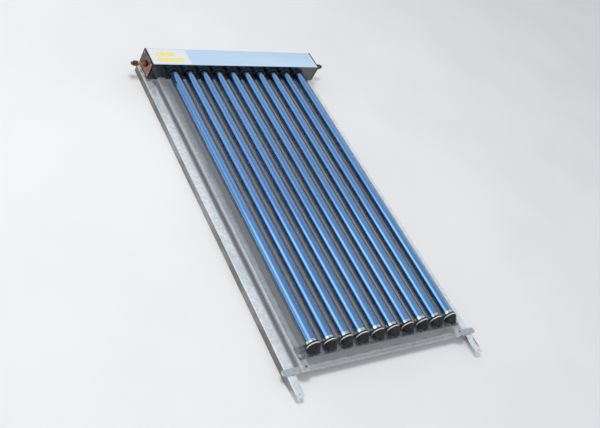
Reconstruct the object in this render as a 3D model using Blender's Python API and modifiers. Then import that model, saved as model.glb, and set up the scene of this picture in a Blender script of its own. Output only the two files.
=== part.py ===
"""Evacuated-tube solar water heater: ten heat-pipe tubes between a header box and a bottom
track, on two channel rails and an angle-iron base frame. The collector lies flat on its frame:
X runs along the header, +Y points up the tubes to the header, +Z is the sunny side.
The origin is the centre of the floor area that the collector covers. Units are metres."""

import math

import bmesh
import bpy

# --- driving dimensions ---------------------------------------------------------------------
TUBE_COUNT = 10
PITCH = 0.092
AXIS_Z = 0.106              # height of the tube axes above the floor
GAP = 0.0003                # between pieces that touch

HEADER_Y = 0.875            # lower face of the header box, where the tubes go in
HEADER_LENGTH = 1.104
HEADER_HEIGHT = 0.130
HEADER_DEPTH = 0.104
SHEET = 0.0012

GLASS_R = 0.029
GLASS_WALL = 0.0018
ABSORBER_R = 0.0235
ABSORBER_WALL = 0.0016
ABSORBER_BASE = -1.690      # where the coated tube's dome starts
TUBE_TOP = 0.022            # tube above the header's lower face
TUBE_BOTTOM = -1.723        # tip of the glass dome
TUBE_TRAVEL = 0.020

PIPE_LINE = 0.065           # manifold axis above the header's lower face
PIPE_R = 0.0175
PIPE_WALL = 0.0012
STUB_R = 0.011
STUB_WALL = 0.001
STUB_END = 0.610
NECK_X = 0.530              # where the manifold narrows to its stub
NECK_TAPER = 0.010
PLATE_HOLE_R = 0.0145       # pipe hole in an end plate
POCKET_R = 0.0095
POCKET_BORE = 0.0073
POCKET_START = 0.033
POCKET_END = 0.097
POCKET_END_WALL = 0.003

HEAT_STEM_R = 0.004
HEAT_BULB_R = 0.0065
HEAT_BULB_START = 0.042
HEAT_BULB_END = 0.091
HEAT_SHOULDER = 0.008       # taper from bulb to stem
HEAT_STEM_END = -1.660

CUP_R = 0.032
CUP_RIM = -1.690
CUP_TIP = -1.741
CUP_SHOULDER = 0.014        # straight part of the cup, from its rim
SADDLE_LENGTH = 0.010
SADDLE_WIDTH = 0.016

RAIL_X = 0.468              # centre of a channel rail
RAIL_WIDTH = 0.044
RAIL_DROP = 0.020
RAIL_SHEET = 0.002
CHANNEL_BEND = 0.005        # outer radius of the bends of the rails and the header seat
RAIL_END = -1.788
RAIL_TOP_Z = 0.0666
FIX_HOLE_X = 0.466          # fixing hole through rail web and crossbar
FIX_HOLE_R = 0.0055

BASE_X = 0.560              # outer face of a base rail
BASE_FLANGE = 0.044
BASE_HEIGHT = 0.040
BASE_SHEET = 0.0035
BASE_BEND_R = 0.006
BASE_BEND = -1.803          # where the foot steps down
BASE_CHAMFER = -1.800
BASE_SIDE_END = -1.850
FOOT_TIP = -1.880
FOOT_STEP = 0.0045
FOOT_HOLE_Y = -1.866
SEAT_WIDTH = 0.050          # of the hat channel under the header

BAR_Y = -1.766
BAR_WIDTH = 0.030
BAR_THICK = 0.006
BAR_HALF = 0.582
BAR_CORNER = 0.0145

TRACK_LOW = -1.732
TRACK_HIGH = -1.672
TRACK_THICK = 0.003
TRACK_HALF = 0.488
TRACK_CORNER = 0.012
TRACK_BOLT_X = 0.474
TRACK_BOLT_Y = -1.718
BOLT_R = 0.004
BOLT_CLEARANCE = 0.0005
BOLT_LENGTH = 0.014
BOLT_HEAD = 0.0053
WASHER_R = 0.0085
WASHER_THICK = 0.0016

ROUND = 16                  # sides of a tube
SMALL_ROUND = 12            # sides of a thinner tube, a bolt and a cap
POCKET_SIDES = 8
DOME_STEPS = 3
BEND_STEPS = 3
SIDES = (("left", -1), ("right", 1))

ALONG_Y = (math.radians(-90), 0, 0)                    # local Z to +Y
ALONG_X = (0, math.radians(90), 0)                     # local Z to +X
PROFILE_YZ = (math.radians(90), 0, math.radians(90))   # local X, Y, Z to world Y, Z, X
PROFILE_XZ = (math.radians(90), 0, 0)                  # local X, Y, Z to world X, Z, -Y


# --- scene and helpers ----------------------------------------------------------------------
def clear_scene():
    """Remove whatever the scene holds."""
    for item in list(bpy.data.objects):
        bpy.data.objects.remove(item, do_unlink=True)


def new_collection(name):
    """Make a collection and link it to the scene."""
    made = bpy.data.collections.new(name)
    bpy.context.scene.collection.children.link(made)
    return made


def new_material(name, color, roughness, metallic=0.0):
    """Make a Principled material."""
    made = bpy.data.materials.new(name)
    made.use_nodes = True
    shader = made.node_tree.nodes["Principled BSDF"]
    shader.inputs["Base Color"].default_value = (*color, 1.0)
    shader.inputs["Roughness"].default_value = roughness
    shader.inputs["Metallic"].default_value = metallic
    return made


def place(name, data, material, location, rotation=(0, 0, 0)):
    """Put mesh or curve data in the collector's collection as one named piece."""
    item = bpy.data.objects.new(name, data)
    if not data.materials:
        data.materials.append(material)
    item.location = location
    item.rotation_euler = rotation
    parts.objects.link(item)
    return item


def arc(center_x, center_y, radius, start, end, steps):
    """Points along an arc, angles in degrees."""
    found = []
    for index in range(steps + 1):
        angle = math.radians(start + (end - start) * index / steps)
        found.append((center_x + radius * math.cos(angle), center_y + radius * math.sin(angle)))
    return found


def circle(center_x, center_y, radius, sides):
    """Points round a circle, without repeating the first."""
    return arc(center_x, center_y, radius, 0, 360, sides)[:-1]


def outline_data(name, loops, thickness):
    """A flat plate from closed loops of points. Inner loops are holes."""
    data = bpy.data.curves.new(name, "CURVE")
    data.dimensions = "2D"
    data.fill_mode = "BOTH"
    data.extrude = thickness / 2
    for loop in loops:
        spline = data.splines.new("POLY")
        spline.points.add(len(loop) - 1)
        for point, (along, across) in zip(spline.points, loop):
            point.co = (along, across, 0, 1)
        spline.use_cyclic_u = True
    return data


def turned_data(name, profile):
    """Profile as a chain of edges, for the Screw modifier: (radius, height) pairs, top first."""
    data = bpy.data.meshes.new(name)
    edges = [(index, index + 1) for index in range(len(profile) - 1)]
    data.from_pydata([(radius, 0, height) for radius, height in profile], edges, [])
    return data


def turned(name, data, material, location, rotation, sides=ROUND):
    """Turn a profile about its local Z."""
    item = place(name, data, material, location, rotation)
    screw = item.modifiers.new("Turn", "SCREW")
    screw.axis = "Z"
    screw.angle = math.radians(360)
    screw.steps = sides
    screw.render_steps = sides
    screw.use_merge_vertices = True
    screw.merge_threshold = 0.0001
    screw.use_smooth_shade = True
    return item


def closed_profile(points):
    """Close a profile that stays off the axis into a loop."""
    return points + [points[0]]


def to_mesh(item):
    """Replace a curve or modified object with its finished, welded mesh."""
    bpy.context.view_layer.update()
    graph = bpy.context.evaluated_depsgraph_get()
    data = bpy.data.meshes.new_from_object(item.evaluated_get(graph))
    work = bmesh.new()
    work.from_mesh(data)
    bmesh.ops.remove_doubles(work, verts=work.verts, dist=0.00001)
    bmesh.ops.recalc_face_normals(work, faces=work.faces)
    work.to_mesh(data)
    work.free()
    name = item.name
    made = bpy.data.objects.new(name + "_mesh", data)
    made.matrix_world = item.matrix_world.copy()
    for holder in item.users_collection:
        holder.objects.link(made)
    bpy.data.objects.remove(item, do_unlink=True)
    made.name = name
    return made


def as_tool(item):
    """Turn an object into a hidden Boolean tool."""
    for holder in list(item.users_collection):
        holder.objects.unlink(item)
    tools.objects.link(item)
    item.hide_render = True
    item.display_type = "WIRE"
    return item


def rod_tool(name, radius, length, location, rotation, sides):
    """A closed cylinder for cutting or joining, centred on location."""
    data = bpy.data.meshes.new(name)
    work = bmesh.new()
    bmesh.ops.create_cone(work, cap_ends=True, segments=sides, radius1=radius, radius2=radius,
                          depth=length)
    work.to_mesh(data)
    work.free()
    item = bpy.data.objects.new(name, data)
    item.location = location
    item.rotation_euler = rotation
    tools.objects.link(item)
    item.hide_render = True
    item.display_type = "WIRE"
    return item


def box_data(name, size):
    """A box mesh of the given size about its centre."""
    data = bpy.data.meshes.new(name)
    work = bmesh.new()
    bmesh.ops.create_cube(work, size=1)
    bmesh.ops.scale(work, vec=size, verts=work.verts)
    work.to_mesh(data)
    work.free()
    return data


def box_tool(name, size, location):
    """A closed box for cutting or joining."""
    item = bpy.data.objects.new(name, box_data(name, size))
    item.location = location
    tools.objects.link(item)
    item.hide_render = True
    item.display_type = "WIRE"
    return item


def combine(item, tool, operation):
    """Add one exact Boolean to a piece."""
    step = item.modifiers.new(operation.title(), "BOOLEAN")
    step.operation = operation
    step.solver = "EXACT"
    step.object = tool


def tube_x(index):
    """X of a tube axis, counted from the left."""
    return (index - (TUBE_COUNT - 1) / 2) * PITCH


def number(index):
    """Two-digit label of a tube, from 01."""
    return f"{index + 1:02d}"


# --- evacuated tubes ------------------------------------------------------------------------
def dome(radius, base):
    """Half-round end below base, from its rim to the axis."""
    return [(max(x, 0), y) for x, y in arc(0, base, radius, 0, -90, DOME_STEPS)]


def make_glass_tubes():
    """Outer glass: open at the header, closed by a dome at the foot."""
    base = TUBE_BOTTOM + GLASS_R
    inner_r = GLASS_R - GLASS_WALL
    lip_r = ABSORBER_R + 0.0004
    chamfer = 0.0015
    inside = list(reversed(dome(inner_r, base)))
    inside += [(inner_r, TUBE_TOP - GLASS_WALL), (lip_r, TUBE_TOP - GLASS_WALL)]
    outside = [(lip_r, TUBE_TOP), (GLASS_R - chamfer, TUBE_TOP), (GLASS_R, TUBE_TOP - chamfer)]
    outside += dome(GLASS_R, base)
    data = turned_data("glass_tube", inside + outside)
    for index in range(TUBE_COUNT):
        turned("glass_tube_" + number(index), data, glass, (tube_x(index), HEADER_Y, AXIS_Z),
               ALONG_Y)


def make_absorber_tubes():
    """Inner glass with the selective coating, open at the header."""
    inner_r = ABSORBER_R - ABSORBER_WALL
    mouth = TUBE_TOP + 0.0005
    profile = list(reversed(dome(inner_r, ABSORBER_BASE))) + [(inner_r, mouth)]
    profile += [(ABSORBER_R, mouth)] + dome(ABSORBER_R, ABSORBER_BASE)
    data = turned_data("absorber_tube", profile)
    for index in range(TUBE_COUNT):
        turned("absorber_tube_" + number(index), data, coating,
               (tube_x(index), HEADER_Y, AXIS_Z), ALONG_Y, SMALL_ROUND)


def make_heat_pipes():
    """Sealed copper heat pipe with its condenser bulb in the manifold's pocket."""
    chamfer_in = 0.002
    chamfer_down = 0.003
    profile = [(0, HEAT_BULB_END), (HEAT_BULB_R - chamfer_in, HEAT_BULB_END),
               (HEAT_BULB_R, HEAT_BULB_END - chamfer_down), (HEAT_BULB_R, HEAT_BULB_START),
               (HEAT_STEM_R, HEAT_BULB_START - HEAT_SHOULDER), (HEAT_STEM_R, HEAT_STEM_END),
               (0, HEAT_STEM_END - HEAT_STEM_R)]
    data = turned_data("heat_pipe", profile)
    sides = 10
    for index in range(TUBE_COUNT):
        turned("heat_pipe_" + number(index), data, copper, (tube_x(index), HEADER_Y, AXIS_Z),
               ALONG_Y, sides)


def make_end_cups():
    """Black cup that holds the foot of a tube and slides on the bottom track."""
    shoulder = CUP_RIM - CUP_SHOULDER
    bore = GLASS_R + 0.0008
    floor = CUP_TIP + 0.014
    inside = [(0, floor), (0.014, floor + 0.005), (0.0225, floor + 0.014),
              (bore - 0.0018, shoulder), (bore, shoulder + 0.008), (bore, CUP_RIM)]
    outside = [(CUP_R, CUP_RIM), (CUP_R, shoulder), (CUP_R - 0.0035, shoulder - 0.008),
               (CUP_R - 0.012, CUP_TIP + 0.010), (CUP_R - 0.020, CUP_TIP + 0.001), (0, CUP_TIP)]
    data = turned_data("end_cup", inside + outside)
    saddle_low = RAIL_TOP_Z + TRACK_THICK + 2 * GAP
    saddle_high = AXIS_Z - CUP_R + 0.0018
    size = (SADDLE_WIDTH, SADDLE_LENGTH, saddle_high - saddle_low)
    center_y = HEADER_Y + CUP_RIM - 0.0075
    for index in range(TUBE_COUNT):
        cup = turned("end_cup_" + number(index), data, rubber, (tube_x(index), HEADER_Y, AXIS_Z),
                     ALONG_Y)
        saddle = box_tool("saddle_" + number(index), size,
                          (tube_x(index), center_y, (saddle_low + saddle_high) / 2))
        combine(cup, saddle, "UNION")


# --- header box -----------------------------------------------------------------------------
def make_header_shell():
    """Folded casing, perforated underside and two end plates."""
    half = HEADER_DEPTH / 2
    low = SHEET + GAP
    high = HEADER_HEIGHT
    casing = [(low, half), (high, half), (high, -half), (low, -half), (low, -half + SHEET),
              (high - SHEET, -half + SHEET), (high - SHEET, half - SHEET), (low, half - SHEET)]
    span = HEADER_LENGTH - 2 * (SHEET + GAP)
    item = place("header_casing", outline_data("header_casing", [casing], span), steel,
                 (0, HEADER_Y, AXIS_Z), PROFILE_YZ)
    to_mesh(item)

    loops = [[(-span / 2, -half), (span / 2, -half), (span / 2, half), (-span / 2, half)]]
    for index in range(TUBE_COUNT):
        loops.append(circle(tube_x(index), 0, GLASS_R + 0.0015, ROUND))
    place("header_underside", outline_data("header_underside", loops, SHEET), steel,
          (0, HEADER_Y + SHEET / 2, AXIS_Z), PROFILE_XZ)

    plate = [(0, -half), (high, -half), (high, half), (0, half)]
    hole = circle(PIPE_LINE, 0, PLATE_HOLE_R, ROUND)
    for side, sign in SIDES:
        place("header_end_" + side, outline_data("header_end_" + side, [plate, hole], SHEET),
              steel, (sign * (HEADER_LENGTH - SHEET) / 2, HEADER_Y, AXIS_Z), PROFILE_YZ)


def make_manifold():
    """Copper manifold pipe with a blind pocket for each condenser and a stub at each end."""
    stub_bore = STUB_R - STUB_WALL
    wide_bore = PIPE_R - PIPE_WALL
    taper_end = NECK_X + NECK_TAPER
    inset = 0.001
    outside = [(STUB_R, STUB_END), (STUB_R, taper_end), (PIPE_R, NECK_X), (PIPE_R, -NECK_X),
               (STUB_R, -taper_end), (STUB_R, -STUB_END)]
    inside = [(stub_bore, -STUB_END), (stub_bore, -taper_end + inset), (wide_bore, -NECK_X + inset),
              (wide_bore, NECK_X - inset), (stub_bore, taper_end - inset), (stub_bore, STUB_END)]
    line_y = HEADER_Y + PIPE_LINE
    pipe = turned("manifold_pipe", turned_data("manifold_pipe", closed_profile(outside + inside)),
                  copper, (0, line_y, AXIS_Z), ALONG_X)
    length = POCKET_END - POCKET_START
    middle = HEADER_Y + (POCKET_START + POCKET_END) / 2
    for index in range(TUBE_COUNT):
        wall = rod_tool("pocket_" + number(index), POCKET_R, length,
                        (tube_x(index), middle, AXIS_Z), ALONG_Y, POCKET_SIDES)
        combine(pipe, wall, "UNION")
    for index in range(TUBE_COUNT):
        hollow = rod_tool("pocket_bore_" + number(index), POCKET_BORE, length,
                          (tube_x(index), middle - POCKET_END_WALL, AXIS_Z), ALONG_Y, POCKET_SIDES)
        combine(pipe, hollow, "DIFFERENCE")


def make_insulation():
    """Mineral wool block that fills the header round the manifold."""
    play = 0.001
    length = HEADER_LENGTH - 2 * (SHEET + 2 * GAP + 3 * play)
    size = (length, HEADER_HEIGHT - 2 * SHEET - 3 * play, HEADER_DEPTH - 2 * (SHEET + play))
    wool_y = HEADER_Y + HEADER_HEIGHT / 2
    block = place("header_insulation", box_data("header_insulation", size), wool,
                  (0, wool_y, AXIS_Z))
    tunnel = rod_tool("manifold_tunnel", PIPE_R + 1.5 * play, 2 * STUB_END,
                      (0, HEADER_Y + PIPE_LINE, AXIS_Z), ALONG_X, SMALL_ROUND)
    combine(block, tunnel, "DIFFERENCE")
    mouth = TUBE_TOP + TUBE_TRAVEL + play
    for index in range(TUBE_COUNT):
        socket = rod_tool("tube_socket_" + number(index), GLASS_R + play, 2 * mouth,
                          (tube_x(index), HEADER_Y, AXIS_Z), ALONG_Y, ROUND)
        combine(block, socket, "DIFFERENCE")
    well_length = 0.080
    for index in range(TUBE_COUNT):
        well = rod_tool("pocket_well_" + number(index), POCKET_R + 2 * play, well_length,
                        (tube_x(index), HEADER_Y + PIPE_LINE, AXIS_Z), ALONG_Y, POCKET_SIDES)
        combine(block, well, "DIFFERENCE")


def make_pipe_ends():
    """Rubber gland at each end plate and a dark cap on each pipe stub."""
    inner_r = STUB_R + 0.0004
    neck_r = PLATE_HOLE_R - 0.0005
    flange_r = 0.0180
    flange_end = 0.0052
    neck_end = -0.0022
    gland_profile = closed_profile([(inner_r, flange_end), (flange_r - 0.0015, flange_end),
                                    (flange_r, flange_end - 0.0017), (flange_r, GAP),
                                    (neck_r, GAP), (neck_r, neck_end), (inner_r, neck_end)])
    cap_r = 0.0145
    tip_r = 0.0105
    cap_end = 0.026
    skirt_end = -0.008
    cap_floor = 0.002
    cap_profile = [(0, cap_end), (tip_r - 0.002, cap_end), (tip_r, cap_end - 0.003),
                   (tip_r, cap_end - 0.010), (cap_r, cap_end - 0.012), (cap_r, skirt_end),
                   (inner_r, skirt_end), (inner_r, cap_floor), (0, cap_floor)]
    gland_data = turned_data("pipe_gland", gland_profile)
    cap_data = turned_data("pipe_cap", cap_profile)
    for side, sign in SIDES:
        facing = (0, math.radians(90 * sign), 0)
        line = (HEADER_Y + PIPE_LINE, AXIS_Z)
        turned("pipe_gland_" + side, gland_data, rubber, (sign * HEADER_LENGTH / 2, *line), facing)
        turned("pipe_cap_" + side, cap_data, brass, (sign * STUB_END, *line), facing,
               SMALL_ROUND)


# --- frame ----------------------------------------------------------------------------------
def channel_points(width, drop):
    """Section of a channel with its web on top at height 0 and rounded bends."""
    half = width / 2
    turn = half - CHANNEL_BEND
    outer = (arc(-turn, -CHANNEL_BEND, CHANNEL_BEND, 180, 90, BEND_STEPS)
             + arc(turn, -CHANNEL_BEND, CHANNEL_BEND, 90, 0, BEND_STEPS))
    inner_bend = CHANNEL_BEND - RAIL_SHEET
    inner = (arc(turn, -CHANNEL_BEND, inner_bend, 0, 90, BEND_STEPS)
             + arc(-turn, -CHANNEL_BEND, inner_bend, 90, 180, BEND_STEPS))
    return ([(-half, -drop)] + outer + [(half, -drop), (half - RAIL_SHEET, -drop)] + inner
            + [(-half + RAIL_SHEET, -drop)])


def make_channel_rails():
    """Channel rail beside the tubes, web up, with a fixing hole at its foot."""
    start = -GAP
    length = start - RAIL_END
    section = channel_points(RAIL_WIDTH, RAIL_DROP)
    through = 0.02              # length of a cutter through the web
    for side, sign in SIDES:
        item = place("channel_rail_" + side, outline_data("channel_rail", [section], length),
                     galvanised, (sign * RAIL_X, HEADER_Y + (start + RAIL_END) / 2, RAIL_TOP_Z),
                     PROFILE_XZ)
        item = to_mesh(item)
        hole = rod_tool("rail_hole_" + side, FIX_HOLE_R, through,
                        (sign * FIX_HOLE_X, HEADER_Y + BAR_Y, RAIL_TOP_Z), (0, 0, 0), ROUND)
        combine(item, hole, "DIFFERENCE")
        bolt_hole = rod_tool("rail_bolt_hole_" + side, BOLT_R + BOLT_CLEARANCE, through,
                             (sign * TRACK_BOLT_X, HEADER_Y + TRACK_BOLT_Y, RAIL_TOP_Z),
                             (0, 0, 0), SMALL_ROUND)
        combine(item, bolt_hole, "DIFFERENCE")


def make_base_rails():
    """Angle-iron base rail whose flange runs on past the crossbar as a foot with a hole."""
    bend = BASE_BEND_R
    bend_steps = 4
    top_end = HEADER_HEIGHT - 0.002
    for side, sign in SIDES:
        outer = arc(-bend, BASE_HEIGHT - bend, bend, 90, 0, bend_steps)
        inner = arc(-bend, BASE_HEIGHT - bend, bend - BASE_SHEET, 0, 90, bend_steps)
        angle = [(-BASE_FLANGE, BASE_HEIGHT)] + outer + [(0, 0), (-BASE_SHEET, 0)] + inner
        angle += [(-BASE_FLANGE, BASE_HEIGHT - BASE_SHEET)]
        angle = [(sign * x, z) for x, z in angle]
        length = top_end - BASE_SIDE_END
        rail = place("base_rail_" + side, outline_data("base_rail", [angle], length), galvanised,
                     (sign * BASE_X, HEADER_Y + (top_end + BASE_SIDE_END) / 2, 0), PROFILE_XZ)
        rail = to_mesh(rail)

        step_low = BASE_HEIGHT - FOOT_STEP
        over = 0.010                # how far the cutters run past the rail
        cleared = BASE_BEND - BASE_SIDE_END + over
        notch_z = step_low + over - 0.0005
        notch = box_tool("flange_notch_" + side, (0.10, cleared, 2 * over),
                         (sign * BASE_X, HEADER_Y + BASE_BEND - cleared / 2, notch_z))
        combine(rail, notch, "DIFFERENCE")
        tail = BASE_SIDE_END - 2 * over
        rise = step_low - 0.004
        wedge = [(BASE_CHAMFER, -over), (BASE_CHAMFER, 0), (BASE_SIDE_END, rise), (tail, rise),
                 (tail, -over)]
        corner = place("corner_cut_" + side, outline_data("corner_cut", [wedge], 2 * over),
                       galvanised, (sign * BASE_X, HEADER_Y, 0), PROFILE_YZ)
        combine(rail, as_tool(to_mesh(corner)), "DIFFERENCE")

        high = BASE_HEIGHT - 0.0001
        low = high - FOOT_STEP
        thick = BASE_SHEET
        start = BASE_BEND + 0.012
        strip = [(start, high), (start, high - thick + 0.0002), (BASE_BEND, high - thick),
                 (BASE_BEND - 0.006, low - thick), (FOOT_TIP, low - thick), (FOOT_TIP, low),
                 (BASE_BEND - 0.008, low), (BASE_BEND - 0.002, high)]
        foot_width = BASE_FLANGE - 0.001
        foot = place("foot_strip_" + side, outline_data("foot_strip", [strip], foot_width),
                     galvanised, (sign * (BASE_X - BASE_FLANGE / 2), HEADER_Y, 0), PROFILE_YZ)
        combine(rail, as_tool(to_mesh(foot)), "UNION")
        hole = rod_tool("foot_hole_" + side, FIX_HOLE_R, BASE_HEIGHT,
                        (sign * (BASE_X - BASE_FLANGE / 2), HEADER_Y + FOOT_HOLE_Y, low),
                        (0, 0, 0), ROUND)
        combine(rail, hole, "DIFFERENCE")


def rounded_bar(half, width, corner, steps):
    """Outline of a flat bar with rounded corners."""
    side = width / 2
    return (arc(half - corner, side - corner, corner, 90, 0, steps)
            + arc(half - corner, -side + corner, corner, 0, -90, steps)
            + arc(-half + corner, -side + corner, corner, -90, -180, steps)
            + arc(-half + corner, side - corner, corner, 180, 90, steps))


def make_cross_members():
    """Flat crossbar at the foot, hat channel under the header, and the bottom track."""
    bar_z = BASE_HEIGHT + GAP + BAR_THICK / 2
    corner_steps = 5
    loops = [rounded_bar(BAR_HALF, BAR_WIDTH, BAR_CORNER, corner_steps)]
    for _, sign in SIDES:
        loops.append(circle(sign * FIX_HOLE_X, 0, FIX_HOLE_R, ROUND))
    place("crossbar_lower", outline_data("crossbar_lower", loops, BAR_THICK), galvanised,
          (0, HEADER_Y + BAR_Y, bar_z))

    seat_top = AXIS_Z - HEADER_DEPTH / 2 - GAP
    drop = seat_top - BASE_HEIGHT - GAP
    section = channel_points(SEAT_WIDTH, drop)
    place("header_seat", outline_data("header_seat", [section], 2 * BASE_X - 0.001), galvanised,
          (0, HEADER_Y + PIPE_LINE, seat_top), PROFILE_YZ)

    track_y = (TRACK_LOW + TRACK_HIGH) / 2
    width = TRACK_HIGH - TRACK_LOW
    loops = [rounded_bar(TRACK_HALF, width, TRACK_CORNER, corner_steps)]
    hole_r = BOLT_R + BOLT_CLEARANCE
    for _, sign in SIDES:
        loops.append(circle(sign * TRACK_BOLT_X, TRACK_BOLT_Y - track_y, hole_r, SMALL_ROUND))
    place("bottom_track", outline_data("bottom_track", loops, TRACK_THICK), galvanised,
          (0, HEADER_Y + track_y, RAIL_TOP_Z + GAP + TRACK_THICK / 2))


def make_track_bolts():
    """Hex bolt with washer through the track and the rail web at each end."""
    seat = RAIL_TOP_Z + GAP + TRACK_THICK + GAP
    bite = 0.0002               # overlap that joins the head to its washer
    head_z = seat + WASHER_THICK - bite + BOLT_HEAD / 2
    for side, sign in SIDES:
        spot = (sign * TRACK_BOLT_X, HEADER_Y + TRACK_BOLT_Y)
        data = bpy.data.meshes.new("track_bolt")
        work = bmesh.new()
        bmesh.ops.create_cone(work, cap_ends=True, segments=6, radius1=0.0075, radius2=0.0070,
                              depth=BOLT_HEAD)
        work.to_mesh(data)
        work.free()
        bolt = place("track_bolt_" + side, data, zinc, (*spot, head_z))
        washer = rod_tool("washer_" + side, WASHER_R, WASHER_THICK,
                          (*spot, seat + WASHER_THICK / 2), (0, 0, 0), ROUND)
        shank_z = seat + 0.001 - BOLT_LENGTH / 2
        shank = rod_tool("shank_" + side, BOLT_R, BOLT_LENGTH, (*spot, shank_z), (0, 0, 0),
                         SMALL_ROUND)
        combine(bolt, washer, "UNION")
        combine(bolt, shank, "UNION")


# --- build ----------------------------------------------------------------------------------
clear_scene()
parts = new_collection("solar_water_heater")
tools = new_collection("cutters")

glass = new_material("clear_glass", (0.55, 0.68, 0.78), 0.05)
coating = new_material("absorber_coating", (0.05, 0.16, 0.45), 0.25, 0.7)
copper = new_material("copper", (0.72, 0.38, 0.24), 0.30, 1.0)
brass = new_material("dark_brass", (0.10, 0.09, 0.08), 0.45, 0.6)
steel = new_material("polished_steel", (0.72, 0.82, 0.93), 0.12, 1.0)
galvanised = new_material("galvanised_steel", (0.62, 0.66, 0.69), 0.45, 0.8)
zinc = new_material("zinc_plated", (0.70, 0.71, 0.72), 0.35, 1.0)
rubber = new_material("black_rubber", (0.025, 0.026, 0.028), 0.45)
wool = new_material("mineral_wool", (0.62, 0.55, 0.33), 0.95)

make_glass_tubes()
make_absorber_tubes()
make_heat_pipes()
make_end_cups()
make_header_shell()
make_manifold()
make_insulation()
make_pipe_ends()
make_channel_rails()
make_base_rails()
make_cross_members()
make_track_bolts()
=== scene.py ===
"""Looks of the evacuated-tube solar water heater: fine meshes, procedural materials, light and
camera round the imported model. Units are metres; +X runs along the header, +Y up the tubes and
+Z is the sunny side. Each mesh is made where it stands, so its object sits at the origin."""

import math
import random

import bmesh
import bpy
from mathutils import Matrix, Quaternion, Vector


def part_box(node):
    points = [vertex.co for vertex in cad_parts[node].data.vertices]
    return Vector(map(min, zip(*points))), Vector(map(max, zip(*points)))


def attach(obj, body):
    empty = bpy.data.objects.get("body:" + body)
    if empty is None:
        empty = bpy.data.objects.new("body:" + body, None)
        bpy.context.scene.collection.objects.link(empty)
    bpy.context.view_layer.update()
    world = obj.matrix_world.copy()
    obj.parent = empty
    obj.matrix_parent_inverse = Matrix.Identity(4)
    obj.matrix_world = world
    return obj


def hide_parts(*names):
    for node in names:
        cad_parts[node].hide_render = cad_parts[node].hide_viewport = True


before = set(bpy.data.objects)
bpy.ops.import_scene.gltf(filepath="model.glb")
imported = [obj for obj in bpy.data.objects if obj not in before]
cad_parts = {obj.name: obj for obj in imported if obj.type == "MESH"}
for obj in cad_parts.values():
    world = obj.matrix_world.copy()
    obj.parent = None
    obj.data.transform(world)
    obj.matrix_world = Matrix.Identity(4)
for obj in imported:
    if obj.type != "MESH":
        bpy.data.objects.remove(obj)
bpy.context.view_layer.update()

# --- sizes that the frame doesn't give ------------------------------------------------------
TUBE_COUNT = 10
SIDES = (("left", -1), ("right", 1))
VERY_FINE = 96                # sides of a ribbed or knurled piece
FINE = 64                     # sides of a large round piece
SMALL = 32                    # sides of a small round piece
STUB_R = 0.011
GLASS_WALL = 0.0018
GLASS_IOR = 1.47
ABSORBER_WALL = 0.0016
SHEET = 0.0012                # header sheet
GAP = 0.0003                  # between pieces that touch
HEADER_INSET = 0.0007         # casing below the edge trims' outer face
GETTER_LENGTH = 0.013         # silvered glass above the cup's rim
GETTER_THICK = 0.00012
PLATE_HOLE_R = 0.0145         # pipe hole in an end plate
FIX_HOLE_X = 0.466            # fixing hole through rail web and crossbar
FIX_HOLE_R = 0.0055
BOLT_HOLE_R = 0.0045
CHANNEL_SHEET = 0.002         # of the channel rails and the header seat
CHANNEL_BEND = 0.005
FRAME_EDGE = 0.0004           # rounding of the frame's cut edges
DRILL_REACH = 0.02            # of a drilling tool, to each side

# base rails: sheet, bend, and distances from the foot's tip
BASE_THICK = 0.0035
BASE_BEND = 0.006
JOGGLE = 0.0045               # how far the foot steps down
TIP_ROUND = 0.011
FOOT_HOLE = 0.014
SIDE_END = 0.030
CHAMFER = 0.080               # where the side starts to rise
STEP_START = 0.081            # where the foot starts to step down
STEP_END = 0.069

X_AXIS = Vector((1, 0, 0))
Y_AXIS = Vector((0, 1, 0))
Z_AXIS = Vector((0, 0, 1))


# --- camera ---------------------------------------------------------------------------------
CAMERA_PLACE = Vector((-2.486, -1.956, 2.674))
CAMERA_AIM = Vector((-0.460, 0.049, 0.106))
CAMERA_ROLL = math.radians(29.64)
CAMERA_LENS = 48.1
CAMERA_SHIFT = (0.125, -0.040)


def make_camera():
    """Three-quarter view from above the lower left corner, tipped as the object was seen."""
    data = bpy.data.cameras.new("camera")
    data.lens = CAMERA_LENS
    data.sensor_width = 36
    data.shift_x, data.shift_y = CAMERA_SHIFT
    data.clip_start = 0.05
    data.clip_end = 300
    camera = bpy.data.objects.new("camera", data)
    look = (CAMERA_AIM - CAMERA_PLACE).to_track_quat("-Z", "Y")
    camera.rotation_mode = "QUATERNION"
    camera.rotation_quaternion = look @ Quaternion((0, 0, 1), CAMERA_ROLL)
    camera.location = CAMERA_PLACE
    bpy.context.scene.collection.objects.link(camera)
    bpy.context.scene.camera = camera


make_camera()


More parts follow.
